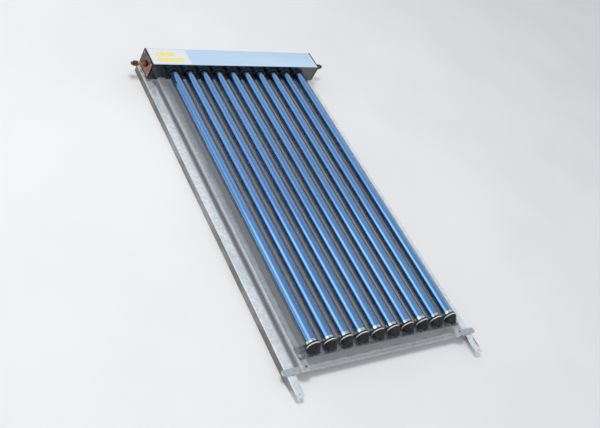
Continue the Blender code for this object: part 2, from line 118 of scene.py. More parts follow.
# --- material helper ------------------------------------------------------------------------
class Surface:
    """One material's node tree, with short calls for the nodes that the surfaces share."""

    def __init__(self, name, roughness=0.5, metallic=0.0):
        self.material = bpy.data.materials.new(name)
        self.material.use_nodes = True
        self.tree = self.material.node_tree
        self.shader = self.tree.nodes["Principled BSDF"]
        self.put(self.shader, {"Roughness": roughness, "Metallic": metallic})
        self.place = self.tree.nodes.new("ShaderNodeTexCoord").outputs["Object"]

    def put(self, node, values):
        """Set a node's inputs, or link them where the value is a socket."""
        for key, value in values.items():
            if isinstance(value, bpy.types.NodeSocket):
                self.tree.links.new(value, node.inputs[key])
            else:
                node.inputs[key].default_value = value

    def node(self, kind, values, **settings):
        """New node with its settings and its inputs."""
        made = self.tree.nodes.new(kind)
        for key, value in settings.items():
            setattr(made, key, value)
        self.put(made, values)
        return made

    def noise(self, scale, detail=3.0, roughness=0.55, stretch=None, distortion=0.0):
        """Noise value, from 0 to 1; stretch squeezes it along some axes."""
        place = self.place
        if stretch:
            place = self.node("ShaderNodeMapping", {"Scale": stretch, "Vector": place}).outputs[0]
        values = {"Scale": scale, "Detail": detail, "Roughness": roughness,
                  "Distortion": distortion, "Vector": place}
        return self.node("ShaderNodeTexNoise", values).outputs["Fac"]

    def cells(self, scale, jitter=0.004, jitter_scale=80):
        """Random grey of each cell, with ragged borders, as zinc spangle has."""
        wave = self.node("ShaderNodeTexNoise", {"Scale": jitter_scale, "Vector": self.place})
        shift = self.node("ShaderNodeVectorMath",
                          {0: wave.outputs["Color"], 1: (jitter, jitter, jitter), 2: self.place},
                          operation="MULTIPLY_ADD")
        made = self.node("ShaderNodeTexVoronoi",
                         {"Scale": scale, "Vector": shift.outputs["Vector"]})
        split = self.node("ShaderNodeSeparateColor", {"Color": made.outputs["Color"]})
        return split.outputs["Red"]

    def between(self, value, low, high, to_low=0.0, to_high=1.0):
        """Value remapped and clamped."""
        values = {"Value": value, "From Min": low, "From Max": high, "To Min": to_low,
                  "To Max": to_high}
        made = self.node("ShaderNodeMapRange", values, interpolation_type="SMOOTHSTEP")
        return made.outputs["Result"]

    def math(self, operation, first, second):
        """Clamped result of a sum or a product."""
        values = {0: first, 1: second}
        made = self.node("ShaderNodeMath", values, operation=operation, use_clamp=True)
        return made.outputs[0]

    def mix(self, amount, first, second):
        """Colour between two colours, each a tuple or a socket."""
        first, second = [(*value, 1.0) if isinstance(value, tuple) else value
                         for value in (first, second)]
        values = {"Factor": amount, 6: first, 7: second}
        return self.node("ShaderNodeMix", values, data_type="RGBA").outputs[2]

    def normal(self, axis):
        """One coordinate of the surface normal."""
        normal = self.node("ShaderNodeTexCoord", {}).outputs["Normal"]
        return self.node("ShaderNodeSeparateXYZ", {"Vector": normal}).outputs[axis]

    def facing(self, axis):
        """1 on faces that look along plus or minus an axis, by name."""
        made = self.node("ShaderNodeMath", {0: self.normal(axis)}, operation="ABSOLUTE")
        return made.outputs[0]

    def along(self, axis):
        """One coordinate of the place on the object."""
        return self.node("ShaderNodeSeparateXYZ", {"Vector": self.place}).outputs[axis]

    def color(self, value):
        self.put(self.shader, {"Base Color": value})

    def roughness(self, value):
        self.put(self.shader, {"Roughness": value})

    def bump(self, height, strength, distance):
        values = {"Strength": strength, "Distance": distance, "Height": height}
        made = self.node("ShaderNodeBump", values)
        self.put(self.shader, {"Normal": made.outputs["Normal"]})


# --- materials ------------------------------------------------------------------------------
def make_glass():
    """Clear borosilicate: see-through, a sharp reflection that grows towards the edge, and painted
    shade near its outline.
    """
    surface = Surface("clear_glass_surface", roughness=0.02, metallic=1.0)
    surface.color((0.86, 0.92, 0.95, 1))
    dust = surface.noise(9, 5, 0.6, stretch=(6, 1, 6))
    surface.roughness(surface.between(dust, 0.45, 0.75, 0.015, 0.09))
    # Painted shade: what the glass lets through is darkened towards its outline, giving dark edge
    # lines.
    slant = surface.node("ShaderNodeLayerWeight", {"Blend": 0.5}).outputs["Facing"]
    painted_light_tint = surface.mix(surface.between(slant, 0.50, 0.82), (0.95, 0.97, 0.98), (0.16, 0.20, 0.26))
    clear = surface.node("ShaderNodeBsdfTransparent", {"Color": painted_light_tint})
    back = surface.node("ShaderNodeNewGeometry", {}).outputs["Backfacing"]
    bend = surface.between(back, 0.0, 1.0, GLASS_IOR, 1 / GLASS_IOR)
    edge = surface.node("ShaderNodeFresnel", {"IOR": bend})
    blend = surface.node("ShaderNodeMixShader",
                         {"Fac": edge.outputs["Fac"], 1: clear.outputs["BSDF"],
                          2: surface.shader.outputs["BSDF"]})
    surface.put(surface.tree.nodes["Material Output"], {"Surface": blend.outputs["Shader"]})
    return surface.material


def make_coating():
    """Selective coating in faint streaks: blue, with painted shade that turns it black underneath.
    """
    surface = Surface("absorber_coating_surface", roughness=0.16, metallic=1.0)
    streak = surface.noise(38, 5, 0.62, stretch=(1.0, 0.02, 1.0))
    cloud = surface.noise(3.2, 3, 0.5, stretch=(1.4, 0.45, 1.4))
    deep = surface.mix(surface.between(streak, 0.32, 0.70), (0.130, 0.320, 0.680),
                       (0.200, 0.440, 0.860))
    blue = surface.mix(surface.between(cloud, 0.35, 0.75, 0.0, 0.55), deep, (0.175, 0.475, 0.850))
    # Painted shade: the blue turns black where the normal points down, standing for the shade under
    # each tube.
    painted_light_share = surface.between(surface.normal("Z"), -0.04, 0.20)
    surface.color(surface.mix(painted_light_share, (0.012, 0.016, 0.030), blue))
    surface.roughness(surface.between(streak, 0.3, 0.75, 0.12, 0.20))
    surface.put(surface.shader, {"Specular Tint": (0.86, 0.84, 0.90, 1)})
    return surface.material


def make_cloudy(surface, scale, span, colors, low, high, bump=None, start=0.3):
    """Metal whose colour and roughness both follow one cloudy noise."""
    cloud = surface.noise(scale, 4, 0.6)
    surface.color(surface.mix(surface.between(cloud, *span), *colors))
    surface.roughness(surface.between(cloud, start, 0.7, low, high))
    if bump:
        surface.bump(cloud, *bump)
    return surface.material


def make_copper():
    """Copper with brown tarnish and brighter handled spots."""
    surface = Surface("copper_surface", roughness=0.3, metallic=1.0)
    cloud = surface.noise(42, 5, 0.6)
    fine = surface.noise(600, 2, 0.5)
    bright = surface.mix(surface.between(fine, 0.3, 0.7), (0.80, 0.40, 0.24), (0.66, 0.31, 0.18))
    surface.color(surface.mix(surface.between(cloud, 0.46, 0.66), bright, (0.23, 0.12, 0.08)))
    surface.roughness(surface.between(cloud, 0.35, 0.7, 0.20, 0.48))
    surface.bump(fine, 0.12, 0.0003)
    return surface.material


def make_steel(name, light, dark, low, high):
    """Bright rolled sheet: fine lines along the header, faint cloudiness. Its given colours hold
    painted light: a painted sky reflection or painted shade.
    """
    surface = Surface(name, roughness=0.14, metallic=1.0)
    lines = surface.noise(1.0, 3, 0.6, stretch=(1.6, 900, 900))
    cloud = surface.noise(3.0, 4, 0.55, stretch=(0.5, 3.0, 3.0))
    surface.color(surface.mix(surface.between(cloud, 0.30, 0.72), light, dark))
    both = surface.math("ADD", surface.between(lines, 0.2, 0.8, low, high),
                        surface.between(cloud, 0.5, 0.8, 0.0, 0.05))
    surface.roughness(both)
    surface.bump(lines, 0.04, 0.0002)
    return surface.material


def make_end_steel():
    """Bright sheet under a painted brown reflection, which is darker towards the top."""
    surface = Surface("painted_reflection_sheet_surface", roughness=0.16, metallic=1.0)
    cloud = surface.noise(26, 4, 0.6)
    # Painted reflection: brown and near-black colours stand for dark copper and surroundings
    # reflected in the plate, darker towards the top.
    height = surface.math("ADD", surface.along("Y"), surface.between(cloud, 0.3, 0.7, 0.0, 0.03))
    painted_light_tint = surface.mix(surface.between(cloud, 0.35, 0.7), (0.36, 0.17, 0.11), (0.25, 0.12, 0.08))
    surface.color(surface.mix(surface.between(height, 0.93, 0.985), painted_light_tint, (0.115, 0.090, 0.065)))
    surface.roughness(surface.between(cloud, 0.3, 0.7, 0.12, 0.26))
    surface.bump(cloud, 0.05, 0.0005)
    return surface.material


def make_galvanised(name, dark, light, stained, painted_side_color):
    """Hot-dip zinc: spangle, dull patches, stains, and upright sides in a painted colour that
    stands for light or shade.
    """
    surface = Surface(name, roughness=0.45, metallic=0.55)
    spangle = surface.cells(85)
    small = surface.cells(260, 0.002, 300)
    stain = surface.noise(7.5, 6, 0.62, stretch=(1.0, 0.45, 1.0))
    speck = surface.noise(55, 4, 0.6)
    zinc = surface.mix(surface.between(spangle, 0.0, 1.0), dark, light)
    zinc = surface.mix(surface.between(small, 0.55, 1.0, 0.0, 0.25), zinc, (0.88, 0.91, 0.93))
    zinc = surface.mix(surface.between(stain, 0.50, 0.74, 0.0, 0.45), zinc, stained)
    # Painted light: faces that look along X take their own colour, painted shade on some rails and
    # a painted highlight on others.
    side = surface.between(surface.facing("X"), 0.80, 0.97)
    painted_side_share = surface.math("MULTIPLY", side, surface.between(stain, 0.30, 0.62, 0.60, 0.92))
    zinc = surface.mix(painted_side_share, zinc, painted_side_color)
    rust = surface.math("MULTIPLY", surface.between(speck, 0.66, 0.74),
                        surface.between(stain, 0.48, 0.60))
    surface.color(surface.mix(rust, zinc, (0.26, 0.14, 0.08)))
    surface.roughness(surface.math("ADD", surface.between(spangle, 0.0, 1.0, 0.34, 0.52),
                                   surface.between(stain, 0.45, 0.75, 0.0, 0.16)))
    surface.bump(surface.math("ADD", small, speck), 0.16, 0.0004)
    return surface.material


def make_black(name, base, dusty, low, high, dust_share):
    """Black rubber or plastic with moulding grain and a film of dust."""
    surface = Surface(name, roughness=0.45)
    grain = surface.noise(900, 2, 0.5)
    dust = surface.noise(48, 5, 0.65)
    surface.color(surface.mix(surface.between(dust, 0.46, 0.76, 0.0, dust_share), base, dusty))
    surface.put(surface.shader, {"Specular IOR Level": 0.3})
    surface.roughness(surface.between(dust, 0.3, 0.7, low, high))
    surface.bump(grain, 0.18, 0.0003)
    return surface.material


def make_wool():
    """Yellow-brown mineral wool."""
    surface = Surface("mineral_wool_surface", roughness=0.95)
    fibre = surface.noise(420, 4, 0.7, stretch=(0.3, 1.0, 1.4), distortion=1.5)
    cloud = surface.noise(30, 3, 0.5)
    yellow = surface.mix(surface.between(fibre, 0.35, 0.65), (0.42, 0.33, 0.15),
                         (0.72, 0.62, 0.36))
    surface.color(surface.mix(surface.between(cloud, 0.45, 0.7, 0.0, 0.4), yellow,
                              (0.50, 0.42, 0.26)))
    surface.bump(fibre, 0.6, 0.002)
    return surface.material


def make_vinyl(name, base, worn):
    """Printed vinyl, slightly soiled."""
    surface = Surface(name, roughness=0.32)
    soil = surface.noise(36, 5, 0.62)
    surface.color(surface.mix(surface.between(soil, 0.52, 0.80, 0.0, 0.5), base, worn))
    surface.roughness(surface.between(soil, 0.3, 0.7, 0.24, 0.42))
    surface.bump(surface.noise(500, 2), 0.05, 0.0002)
    return surface.material


def make_floor_paint():
    """Pale studio floor."""
    surface = Surface("floor_surface", roughness=0.75)
    cloud = surface.noise(1.3, 3, 0.5)
    surface.color(surface.mix(surface.between(cloud, 0.3, 0.7), (0.86, 0.85, 0.86),
                              (0.89, 0.89, 0.89)))
    return surface.material


glass = make_glass()
coating = make_coating()
getter = make_cloudy(Surface("getter_mirror_surface", 0.10, 1.0), 70, (0.45, 0.68),
                     ((0.92, 0.93, 0.94), (0.55, 0.53, 0.52)), 0.05, 0.22, start=0.35)
copper = make_copper()
# Painted reflection: the sheet's blue tint stands for the blue sky that the header's front
# reflects.
front_steel = make_steel("bright_sheet_surface", (0.66, 0.82, 0.98), (0.60, 0.78, 0.96),
                         0.12, 0.22)
# Painted shade: the underside's steel gets near-black colours, standing for the shade under the
# header.
plate_steel_painted_shade = make_steel("painted_shade_sheet_surface", (0.13, 0.135, 0.14), (0.085, 0.09, 0.095),
                         0.10, 0.20)
end_steel = make_end_steel()
# Painted shade: the brown side colour stands for brown ground reflected in the shaded upright
# sides.
galvanised = make_galvanised("galvanised_surface", (0.72, 0.79, 0.84), (0.90, 0.97, 1.0),
                             (0.50, 0.53, 0.53), (0.17, 0.145, 0.11))
# Painted highlight: the pale side colour stands for the bright light on the inner rails' upright
# flanges.
dull_zinc = make_galvanised("dull_galvanised_surface", (0.43, 0.47, 0.50), (0.52, 0.57, 0.61),
                            (0.35, 0.37, 0.37), (0.84, 0.88, 0.91))
# Dark zinc on the cup track: partly dirt, partly painted shadow of the cups above it; its upright
# ends get painted shade.
track_zinc_dirt_and_shade = make_galvanised("track_galvanised_surface", (0.16, 0.17, 0.18), (0.34, 0.36, 0.38),
                             (0.10, 0.10, 0.10), (0.20, 0.20, 0.20))
zinc = make_cloudy(Surface("zinc_plated_surface", 0.3, 1.0), 160, (0.40, 0.65),
                   ((0.78, 0.78, 0.76), (0.60, 0.55, 0.42)), 0.22, 0.42, (0.1, 0.0002))
cup_black = make_black("cup_plastic_surface", (0.012, 0.013, 0.015), (0.060, 0.062, 0.063),
                       0.22, 0.42, 0.7)
seal_black = make_black("seal_rubber_surface", (0.010, 0.010, 0.011), (0.045, 0.043, 0.040),
                        0.42, 0.60, 0.6)
# Painted highlight: a pale grey band round each cup stands for the highlight on the cup's shoulder.
band_painted_highlight = make_black("cup_band_surface", (0.66, 0.68, 0.69), (0.48, 0.48, 0.47), 0.25, 0.4, 0.7)
brass = make_cloudy(Surface("dark_brass_surface", 0.4, 0.8), 110, (0.40, 0.68),
                    ((0.075, 0.062, 0.050), (0.22, 0.16, 0.09)), 0.28, 0.5, (0.2, 0.0003))
wool = make_wool()
label_white = make_vinyl("label_white_surface", (0.74, 0.78, 0.82), (0.62, 0.62, 0.58))
label_yellow = make_vinyl("label_yellow_surface", (0.86, 0.76, 0.26), (0.78, 0.72, 0.36))
weld_metal = make_cloudy(Surface("weld_surface", 0.5, 0.6), 240, (0.40, 0.66),
                         ((0.60, 0.63, 0.64), (0.30, 0.27, 0.23)), 0.38, 0.62, (0.4, 0.0006))
floor_paint = make_floor_paint()


# --- mesh helpers ---------------------------------------------------------------------------
def arc(center_x, center_y, radius, start, end, steps):
    """Points along an arc, angles in degrees."""
    found = []
    for index in range(steps + 1):
        angle = math.radians(start + (end - start) * index / steps)
        found.append((center_x + radius * math.cos(angle), center_y + radius * math.sin(angle)))
    return found


def finish_mesh(name, work, angle=32):
    """Turn a bmesh into mesh data with outward normals and smooth round faces."""
    bmesh.ops.recalc_face_normals(work, faces=work.faces)
    data = bpy.data.meshes.new(name)
    work.to_mesh(data)
    work.free()
    smooth(data, angle)
    return data


def smooth(data, angle):
    """Shade mesh data smooth, with edges sharp above an angle in degrees."""
    data.shade_smooth()
    data.set_sharp_from_angle(angle=math.radians(angle))


def piece(name, data, material, body="root", replaces=()):
    """Link mesh data as one piece that rides on a body."""
    item = bpy.data.objects.new(name, data)
    data.materials.clear()
    data.materials.append(material)
    bpy.context.scene.collection.objects.link(item)
    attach(item, body)
    if replaces:
        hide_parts(*replaces)
    return item


def bridge(work, low, high):
    """Join two rings of vertices, either of which may be a single vertex."""
    count = max(len(low), len(high))
    for step in range(count):
        after = (step + 1) % count
        if len(low) == 1:
            work.faces.new((low[0], high[after], high[step]))
        elif len(high) == 1:
            work.faces.new((low[step], low[after], high[0]))
        else:
            work.faces.new((low[step], low[after], high[after], high[step]))


def lathe(work, profile, centre, axis, sides=FINE, closed=False, swell=None):
    """Turn (radius, height) pairs about an axis through centre. swell adds to the radius."""
    turn = axis.to_track_quat("Z", "Y").to_matrix()
    rings = []
    for index, (radius, height) in enumerate(profile):
        if radius < 1e-6:
            rings.append([work.verts.new(centre + turn @ Vector((0, 0, height)))])
            continue
        ring = []
        for step in range(sides):
            angle = 2 * math.pi * step / sides
            reach = radius + (swell(angle, index) if swell else 0)
            spot = Vector((reach * math.cos(angle), reach * math.sin(angle), height))
            ring.append(work.verts.new(centre + turn @ spot))
        rings.append(ring)
    pairs = list(zip(rings, rings[1:]))
    if closed:
        pairs.append((rings[-1], rings[0]))
    for low, high in pairs:
        bridge(work, low, high)


def turned_data(name, profile, centre, axis, sides=FINE, closed=False, swell=None, angle=32):
    """Mesh data of one turned piece."""
    work = bmesh.new()
    lathe(work, profile, centre, axis, sides, closed, swell)
    return finish_mesh(name, work, angle)


def prism(work, outline, start, end, spot):
    """Extrude a flat outline: spot(u, v, w) gives the place of a point at depth w."""
    near = [work.verts.new(spot(u, v, start)) for u, v in outline]
    far = [work.verts.new(spot(u, v, end)) for u, v in outline]
    bridge(work, near, far)
    work.faces.new(near)
    work.faces.new(list(reversed(far)))


def along_x(u, v, w):
    """Outline in Y and Z, extruded along X."""
    return Vector((w, u, v))


def along_y(u, v, w):
    """Outline in X and Z, extruded along Y."""
    return Vector((u, w, v))


def along_z(u, v, w):
    """Outline in X and Y, extruded along Z."""
    return Vector((u, v, w))


def prism_data(name, outline, start, end, spot):
    """Mesh data of one extruded piece."""
    work = bmesh.new()
    prism(work, outline, start, end, spot)
    return finish_mesh(name, work)


def rod(radius, start, end, centre, axis):
    """A closed rod as a temporary object, for Boolean steps."""
    profile = [(0, start), (radius, start), (radius, end), (0, end)]
    return loose(turned_data("rod", profile, centre, axis, SMALL))


def drill(radius, x, y, z):
    """A rod that drills an upright hole through a sheet."""
    return rod(radius, -DRILL_REACH, DRILL_REACH, Vector((x, y, z)), Z_AXIS)


def loose(data):
    """Temporary object."""
    item = bpy.data.objects.new("loose", data)
    bpy.context.scene.collection.objects.link(item)
    return item


def take_data(item):
    """Mesh data of a temporary object, which is removed."""
    data = item.data
    bpy.data.objects.remove(item, do_unlink=True)
    return data


def boolean(item, tools, operation):
    """Apply one exact Boolean for each temporary tool and remove the tools."""
    for tool in tools:
        step = item.modifiers.new("step", "BOOLEAN")
        step.operation = operation
        step.solver = "EXACT"
        step.object = tool
    bake(item)
    for tool in tools:
        bpy.data.objects.remove(tool, do_unlink=True)


def bake(item):
    """Replace an object's mesh with its evaluated one and drop its modifiers."""
    bpy.context.view_layer.update()
    graph = bpy.context.evaluated_depsgraph_get()
    data = bpy.data.meshes.new_from_object(item.evaluated_get(graph))
    item.modifiers.clear()
    item.data = data


def soften(item, width, segments=2, angle=35):
    """Round an object's sharp edges and apply it."""
    step = item.modifiers.new("soften", "BEVEL")
    step.width = width
    step.segments = segments
    step.limit_method = "ANGLE"
    step.angle_limit = math.radians(angle)
    bake(item)
    smooth(item.data, 40)


def sheet_outline(path, thick):
    """Closed outline of a folded sheet whose outer face follows path. The path turns left."""
    inner = []
    count = len(path)
    for index, (x, y) in enumerate(path):
        before = Vector(path[max(index - 1, 0)])
        after = Vector(path[min(index + 1, count - 1)])
        here = Vector((x, y))
        first = (here - before).normalized() if index > 0 else (after - here).normalized()
        second = (after - here).normalized() if index < count - 1 else first
        middle = (first + second).normalized()
        normal = Vector((-middle.y, middle.x))
        reach = thick / max(0.2, normal.dot(Vector((-first.y, first.x))))
        inner.append(tuple(here + normal * reach))
    return list(path) + list(reversed(inner))


def rounded_box(low, high, corner, steps=5):
    """Outline of a rectangle with round corners, from its low and high corner."""
    return (arc(high[0] - corner, high[1] - corner, corner, 0, 90, steps)
            + arc(low[0] + corner, high[1] - corner, corner, 90, 180, steps)
            + arc(low[0] + corner, low[1] + corner, corner, 180, 270, steps)
            + arc(high[0] - corner, low[1] + corner, corner, 270, 360, steps))


def number(index):
    """Two-digit number in a node's name."""
    return f"{index + 1:02d}"


def middle(node):
    """Centre of a CAD node's box."""
    low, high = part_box(node)
    return (low + high) / 2


def moved_copy(data, name, shift):
    """Copy of mesh data, moved."""
    made = data.copy()
    made.name = name
    made.transform(Matrix.Translation(shift))
    return made


# --- evacuated tubes ------------------------------------------------------------------------
tube_low, tube_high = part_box("glass_tube_01")
TUBE_R = (tube_high.x - tube_low.x) / 2
TUBE_AXIS = [middle("glass_tube_" + number(index)).x for index in range(TUBE_COUNT)]
AXIS_Z = (tube_low.z + tube_high.z) / 2
coat_low, coat_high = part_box("absorber_tube_01")
COAT_R = (coat_high.x - coat_low.x) / 2
cup_low, cup_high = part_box("end_cup_01")
CUP_R = (cup_high.x - cup_low.x) / 2
header_low, header_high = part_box("header_end_left")
HEADER_Y = header_low.y
HEADER_HALF = -header_low.x
PLATE_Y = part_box("header_underside")[1].y


def each_tube():
    """Number and shift from tube 1 of each tube."""
    for index, x in enumerate(TUBE_AXIS):
        yield number(index), (x - TUBE_AXIS[0], 0, 0)


def first_axis():
    """Place on the axis of tube 1, at Y 0."""
    return Vector((TUBE_AXIS[0], 0, AXIS_Z))


def dome(radius, base, start=0, end=-90, steps=12):
    """Half-round end below base, from its rim to the axis."""
    return [(max(x, 0), y) for x, y in arc(0, base, radius, start, end, steps)]


def make_tubes():
    """Outer glass, coated inner tube and the silvered end of each tube."""
    top = tube_high.y
    base = tube_low.y + TUBE_R
    inner_r = TUBE_R - GLASS_WALL
    lip_r = COAT_R + 0.0004   # where the glass is fused to the coated tube
    neck = top - 0.004
    bend = 0.0016
    rim_round = 0.003
    inside = list(reversed(dome(inner_r, base))) + [(inner_r, neck)]
    inside += arc(inner_r - bend, neck, bend, 0, 80, 4)[1:] + [(lip_r, top - 0.0018)]
    rim = [(lip_r, top - 0.0006), (lip_r + 0.0012, top)]
    rim += arc(TUBE_R - rim_round, top - rim_round, rim_round, 80, 0, 6)
    tip = 0.0035              # radius of the sealed-off nipple
    nipple = [(tip, tube_low.y + 0.0006), (tip * 0.8, tube_low.y - 0.002),
              (tip * 0.35, tube_low.y - 0.0032), (0, tube_low.y - 0.0034)]
    outside = dome(TUBE_R, base, 0, -82, 14) + nipple
    glass_data = turned_data("glass", inside + rim + outside, first_axis(), Y_AXIS)

    wall_r = COAT_R - ABSORBER_WALL
    coat_base = coat_low.y + COAT_R
    profile = list(reversed(dome(wall_r, coat_base))) + [(wall_r, coat_high.y)]
    edge = 0.0003
    profile += [(COAT_R - edge, coat_high.y), (COAT_R, coat_high.y - edge)]
    profile += dome(COAT_R, coat_base)
    coat_data = turned_data("coat", profile, first_axis(), Y_AXIS)

    for index, (label, shift) in enumerate(each_tube()):
        body = "tube_" + label
        piece("outer_glass_" + label, moved_copy(glass_data, "outer_glass", shift), glass, body,
              ["glass_tube_" + label])
        piece("coated_tube_" + label, moved_copy(coat_data, "coated_tube", shift), coating, body,
              ["absorber_tube_" + label])
        piece("getter_mirror_" + label, getter_data(index, base, inner_r - 0.0001), getter, body,
              ())


def getter_data(index, base, radius):
    """Thin silvered film inside the glass, with an uneven upper edge."""
    seed = random.Random(index + 11)
    phase = [seed.uniform(0, 6.28) for _ in range(3)]
    edge = cup_high.y + GETTER_LENGTH
    work = bmesh.new()
    centre = Vector((TUBE_AXIS[index], 0, AXIS_Z))
    films = []
    for reach in (radius, radius - GETTER_THICK):
        profile = [(reach, edge), (reach, base)] + dome(reach, base, -8, -90, 9)
        films.append([film_ring(work, centre, spot, edge, phase) for spot in profile])
    for rings in films:
        for low, high in zip(rings, rings[1:]):
            bridge(work, low, high)
    bridge(work, films[0][0], films[1][0])
    return finish_mesh("getter_mirror", work)


def film_ring(work, centre, spot, edge, phase):
    """One ring of the film; the ring at its edge waves."""
    reach, height = spot
    turn = Y_AXIS.to_track_quat("Z", "Y").to_matrix()
    if reach < 1e-5:
        return [work.verts.new(centre + turn @ Vector((0, 0, height)))]
    ring = []
    for step in range(FINE):
        angle = 2 * math.pi * step / FINE
        wave = 0
        if height == edge:
            wave = (0.0020 * math.sin(angle + phase[0]) + 0.0010 * math.sin(3 * angle + phase[1])
                    + 0.0005 * math.sin(7 * angle + phase[2]))
        place = Vector((reach * math.cos(angle), reach * math.sin(angle), height + wave))
        ring.append(work.verts.new(centre + turn @ place))
    return ring


def make_cups():
    """Black moulded cup with ribs and a saddle foot, and the pale band below its rim, a painted
    highlight on the cup's shoulder.
    """
    rim = cup_high.y
    tip = cup_low.y
    bore = TUBE_R + 0.0008
    band_top = rim - 0.0075
    band_low = rim - 0.0130
    inner = [(0, tip + 0.014), (0.012, tip + 0.0165), (0.0215, tip + 0.026),
             (bore - 0.0022, rim - 0.016), (bore, rim - 0.006), (bore, rim - 0.0008),
             (bore + 0.0006, rim)]
    lip = arc(CUP_R - 0.0012, rim - 0.0012, 0.0012, 90, 0, 4)
    waist = [(CUP_R, band_top + 0.0006), (CUP_R - 0.0012, band_top), (CUP_R - 0.0012, band_low),
             (CUP_R - 0.0003, band_low - 0.0008)]
    cone = [(CUP_R - 0.0006, rim - 0.0150), (CUP_R - 0.0020, rim - 0.0190),
            (CUP_R - 0.0052, rim - 0.0250), (CUP_R - 0.0100, rim - 0.0320),
            (CUP_R - 0.0155, rim - 0.0390), (CUP_R - 0.0185, rim - 0.0432)]
    knob = [(CUP_R - 0.0192, tip + 0.0050), (CUP_R - 0.0200, tip + 0.0012), (CUP_R - 0.0212, tip),
            (0, tip)]
    profile = inner + lip + waist + cone + knob
    first_rib = len(inner) + len(lip) + len(waist) + 1
    last_rib = first_rib + len(cone) - 2

    def rib(angle, index):
        """Raised ribs down the cone."""
        if not first_rib <= index <= last_rib:
            return 0
        return rib_height * max(0.0, math.cos(rib_count * angle)) ** 3

    rib_height = 0.0012
    rib_count = 8
    cup = loose(turned_data("cup", profile, first_axis(), Y_AXIS, VERY_FINE, False, rib))
    foot_half = 0.008
    foot_top = AXIS_Z - CUP_R + 0.0030
    foot = rounded_box((TUBE_AXIS[0] - foot_half, rim - 0.0125),
                       (TUBE_AXIS[0] + foot_half, rim - 0.0025), 0.002)
    block = loose(prism_data("foot", foot, cup_low.z, foot_top, along_z))
    boolean(cup, [block], "UNION")
    cup_data = take_data(cup)
    smooth(cup_data, 38)

    band = [(CUP_R - 0.0010, band_top - 0.0001), (CUP_R - 0.0004, band_top - 0.0003),
            (CUP_R - 0.0001, band_top - 0.0014), (CUP_R - 0.0001, band_low + 0.0014),
            (CUP_R - 0.0004, band_low + 0.0003), (CUP_R - 0.0010, band_low + 0.0001)]
    band_data = turned_data("band", band, first_axis(), Y_AXIS, VERY_FINE, True)
    for label, shift in each_tube():
        piece("cup_shell_" + label, moved_copy(cup_data, "cup_shell", shift), cup_black,
              "cup_" + label, ["end_cup_" + label])
        piece("cup_band_" + label, moved_copy(band_data, "cup_band", shift), band_painted_highlight,
              "cup_" + label, ())


def make_dust_seals():
    """Rubber ring that closes each tube hole under the header."""
    inner = TUBE_R + 0.0003
    profile = [(inner + 0.0010, -GAP), (inner + 0.0070, -GAP), (inner + 0.0074, -0.0016),
               (inner + 0.0066, -0.0034), (inner + 0.0040, -0.0046), (inner + 0.0022, -0.0072),
               (inner + 0.0012, -0.0096), (inner + 0.0002, -0.0102), (inner, -0.0094),
               (inner, -0.0020)]
    data = turned_data("seal", profile, first_axis() + Vector((0, HEADER_Y, 0)), Y_AXIS, FINE, True)
    for label, shift in each_tube():
        piece("dust_seal_" + label, moved_copy(data, "dust_seal", shift), seal_black, "root", ())


# --- header box -----------------------------------------------------------------------------
def make_casing():
    """One folded sheet: front, back and top with round bends, and hemmed lower edges."""
    low_z = header_low.z + HEADER_INSET
    high_z = header_high.z - HEADER_INSET
    top = header_high.y - HEADER_INSET
    foot = PLATE_Y + GAP
    bend = 0.004
    hem = 0.0016              # radius of the rolled lower edges
    path = [(foot, low_z), (top - bend, low_z)]
    path += arc(top - bend, low_z + bend, bend, -90, 0, 6)[1:]
    path += [(top, high_z - bend)]
    path += arc(top - bend, high_z - bend, bend, 0, 90, 6)[1:]
    path += [(foot, high_z)]
    half = HEADER_HALF - SHEET - GAP
    casing = prism_data("header_cover", sheet_outline(path, SHEET), -half, half, along_x)
    piece("header_cover", casing, front_steel, "root", ["header_casing"])

    for name, edge, inward in (("front", high_z, -1), ("back", low_z, 1)):
        work = bmesh.new()
        centre = Vector((-half, foot + hem, edge + inward * (SHEET + hem)))
        lathe(work, [(0, 0), (hem, 0), (hem, 2 * half), (0, 2 * half)], centre, X_AXIS, 20)
        piece("header_hem_" + name, finish_mesh("header_hem", work), front_steel, "root", ())


def make_end_plates():
    """End plates with a pipe hole, their black edge trims and four screws each."""
    pipe = middle("manifold_pipe")
    inset = 0.0010            # inside the edge trims
    below = 0.0002            # under the trims' outer face
    outline = rounded_box((HEADER_Y + inset, header_low.z + inset),
                          (header_high.y - inset, header_high.z - inset), 0.003)
    for side, sign in SIDES:
        near = sign * (HEADER_HALF - SHEET - below)
        far = sign * (HEADER_HALF - below)
        plate = loose(prism_data("plate", outline, near, far, along_x))
        centre = Vector((sign * HEADER_HALF, pipe.y, pipe.z))
        tool = rod(PLATE_HOLE_R, -DRILL_REACH, DRILL_REACH, centre, X_AXIS)
        boolean(plate, [tool], "DIFFERENCE")
        data = take_data(plate)
        smooth(data, 35)
        piece("end_plate_" + side, data, end_steel, "root", ["header_end_" + side])
        make_trim(side, sign)
        make_screws(side, sign)


def make_trim(side, sign):
    """Black edge guard, U-shaped in section, round the rim of an end plate."""
    reach = 0.0065            # how far it covers the casing
    wrap = 0.0042             # and the end plate
    chamfer = 0.0004
    corner = 0.004
    sharpest = 0.0008
    work = bmesh.new()
    rings = []
    for inset, along in ((0.0, reach), (0.0, chamfer), (chamfer, 0.0), (wrap, 0.0),
                         (wrap, -0.0001), (HEADER_INSET, reach)):
        radius = max(corner - inset, sharpest)
        shape = rounded_box((HEADER_Y + inset, header_low.z + inset),
                            (header_high.y - inset, header_high.z - inset), radius, 6)
        rings.append([work.verts.new((sign * (HEADER_HALF - along), u, v)) for u, v in shape])
    for low, high in zip(rings, rings[1:] + rings[:1]):
        bridge(work, low, high)
    piece("edge_trim_" + side, finish_mesh("edge_trim", work), seal_black, "root", ())


